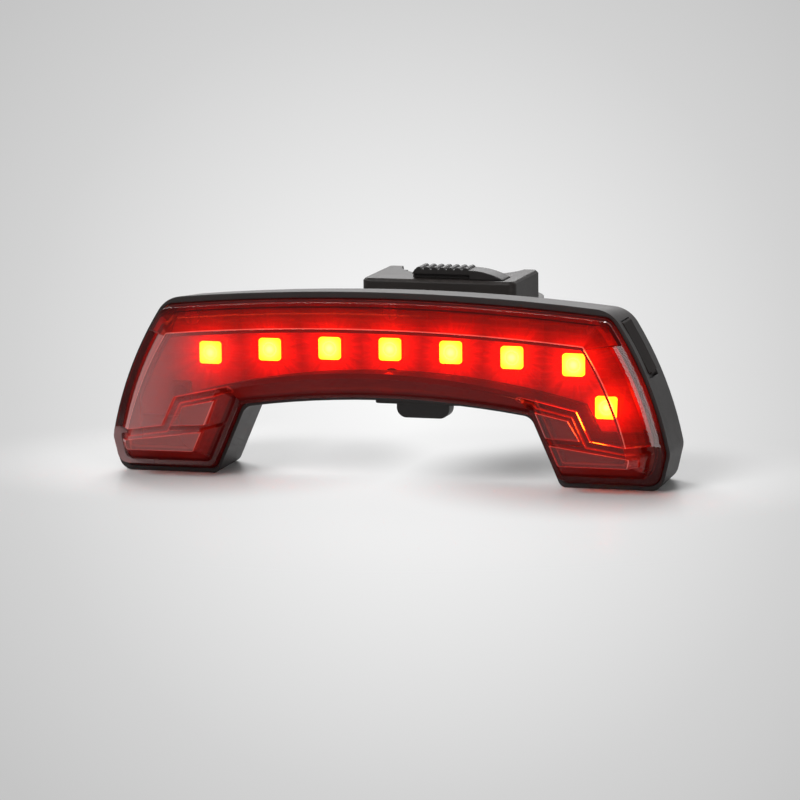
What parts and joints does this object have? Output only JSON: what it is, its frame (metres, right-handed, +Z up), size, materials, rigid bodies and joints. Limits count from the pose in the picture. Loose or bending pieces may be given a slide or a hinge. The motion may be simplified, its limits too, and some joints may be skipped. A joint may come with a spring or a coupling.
{
  "type": "bicycle turn signal light",
  "caption": "Arch-shaped rear turn signal light with a faceted red lens, on a seatpost clamp with a slide-off clip.",
  "frame": {"origin": "on the surface that the feet stand on, under the middle of the whole part", "axes": "+X across the light to the side with the charging flap, +Y from the lens towards the seatpost, +Z up"},
  "size_m": [0.1286, 0.0932, 0.042],
  "materials": {
    "housing": "fine matte black",
    "lens": "clear red, polished",
    "gasket": "matte",
    "surround": "satin black",
    "board": "solder mask",
    "lamps": "satin",
    "domes": "clear filled",
    "chips": "moulded",
    "receiver": "tinned can",
    "antenna": "copper wire",
    "cells": "foil pouch",
    "pads": "foam",
    "screws": "zinc plated",
    "socket": "stamped",
    "flap": "soft matte",
    "switch": "moulded",
    "button": "soft matte",
    "clip": "fine matte black",
    "bracket": "fine matte black",
    "slider": "satin black",
    "grip": "matte"
  },
  "bodies": {
    "mount": {"bracket": "bracket", "saddle_pad": "grip", "clamp_pad": "grip", "rear_clamp": "bracket", "clamp_screws": "screws", "clamp_nuts": "screws"},
    "light": {"rear_housing": "housing", "outer_lens": "lens", "lens_gasket": "gasket", "led_surround": "surround", "led_board": "board", "led_lamps": "lamps", "led_domes": "domes", "control_chip": "chips", "charger_chip": "chips", "receiver_module": "receiver", "receiver_antenna": "antenna", "battery_cell_left": "cells", "battery_cell_right": "cells", "battery_pad_left": "pads", "battery_pad_right": "pads", "inside_screws": "screws", "usb_socket": "socket", "power_switch": "switch", "button_seal": "gasket", "rear_clip": "clip", "clip_screws": "screws"},
    "lock": {"lock_slider": "slider"},
    "button": {"power_button": "button"},
    "flap": {"usb_flap": "flap"}
  },
  "joints": [
    {"name": "light_slide", "type": "slide", "parent": "mount", "child": "light", "axis": [0, 0, 1], "range_m": [0, 0.027]},
    {"name": "lock_slide", "type": "slide", "parent": "mount", "child": "lock", "axis": [-1, 0, 0], "range_m": [0, 0.004]},
    {"name": "button_press", "type": "slide", "parent": "light", "child": "button", "axis": [0, -1, 0], "range_m": [0, 0.0006], "stiffness_N_per_m": 2000},
    {"name": "flap_hinge", "type": "hinge", "parent": "light", "child": "flap", "pos_m": [0.05272, -0.02871, 0.03584], "axis": [0.039, -0.999, 0.0209], "range_deg": [0, 100]}
  ]
}
